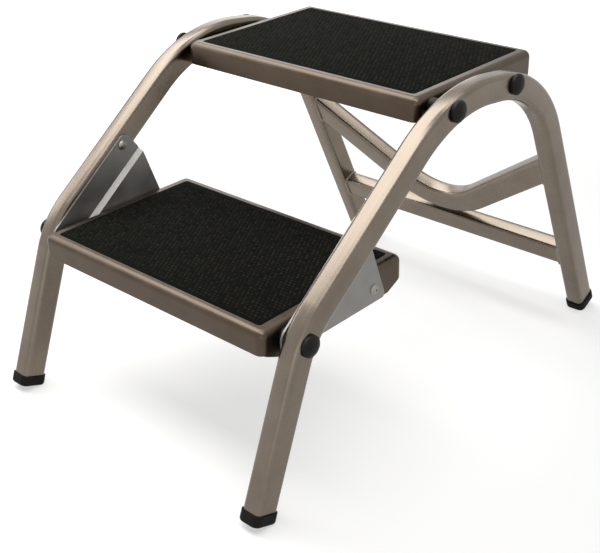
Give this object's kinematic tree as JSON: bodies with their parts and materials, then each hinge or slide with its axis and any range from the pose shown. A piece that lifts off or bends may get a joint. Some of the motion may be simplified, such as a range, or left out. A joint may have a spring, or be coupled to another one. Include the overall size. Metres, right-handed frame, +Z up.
{
  "type": "two-tread caravan step",
  "caption": "Free-standing caravan step: bent tube side frames carry pressed pans with black mats, joined at the rear by a cross tube and a bow.",
  "frame": {"origin": "on the floor, in the middle of the footprint of the four feet", "axes": "+X to the right of someone who climbs the step, +Y from the lower tread to the upper tread, +Z up"},
  "size_m": [0.4696, 0.738, 0.4239],
  "materials": {
    "frame_tube": "satin anodised aluminium tube",
    "pan_sheet": "satin anodised aluminium sheet",
    "bracket_sheet": "mill finish aluminium sheet",
    "mat": "matt black studded rubber",
    "foot": "matt black moulded rubber",
    "black_plastic": "matt black moulded plastic",
    "steel": "zinc-plated steel",
    "rivet": "bright aluminium"
  },
  "bodies": {
    "root": {"left_side_frame": "frame_tube", "right_side_frame": "frame_tube", "rear_cross_tube": "frame_tube", "rear_bow": "frame_tube", "upper_tread_pan": "pan_sheet", "lower_tread_pan": "pan_sheet", "upper_tread_mat": "mat", "lower_tread_mat": "mat", "left_bracket": "bracket_sheet", "right_bracket": "bracket_sheet", "front_left_foot": "foot", "front_right_foot": "foot", "rear_left_foot": "foot", "rear_right_foot": "foot", "upper_bolts": "steel", "upper_nuts": "steel", "upper_bolt_covers": "black_plastic", "upper_spacers": "black_plastic", "lower_bolts": "steel", "lower_nuts": "steel", "lower_bolt_covers": "black_plastic", "lower_spacers": "black_plastic", "bracket_frame_rivets": "rivet", "bracket_pan_rivets": "rivet"}
  },
  "joints": []
}
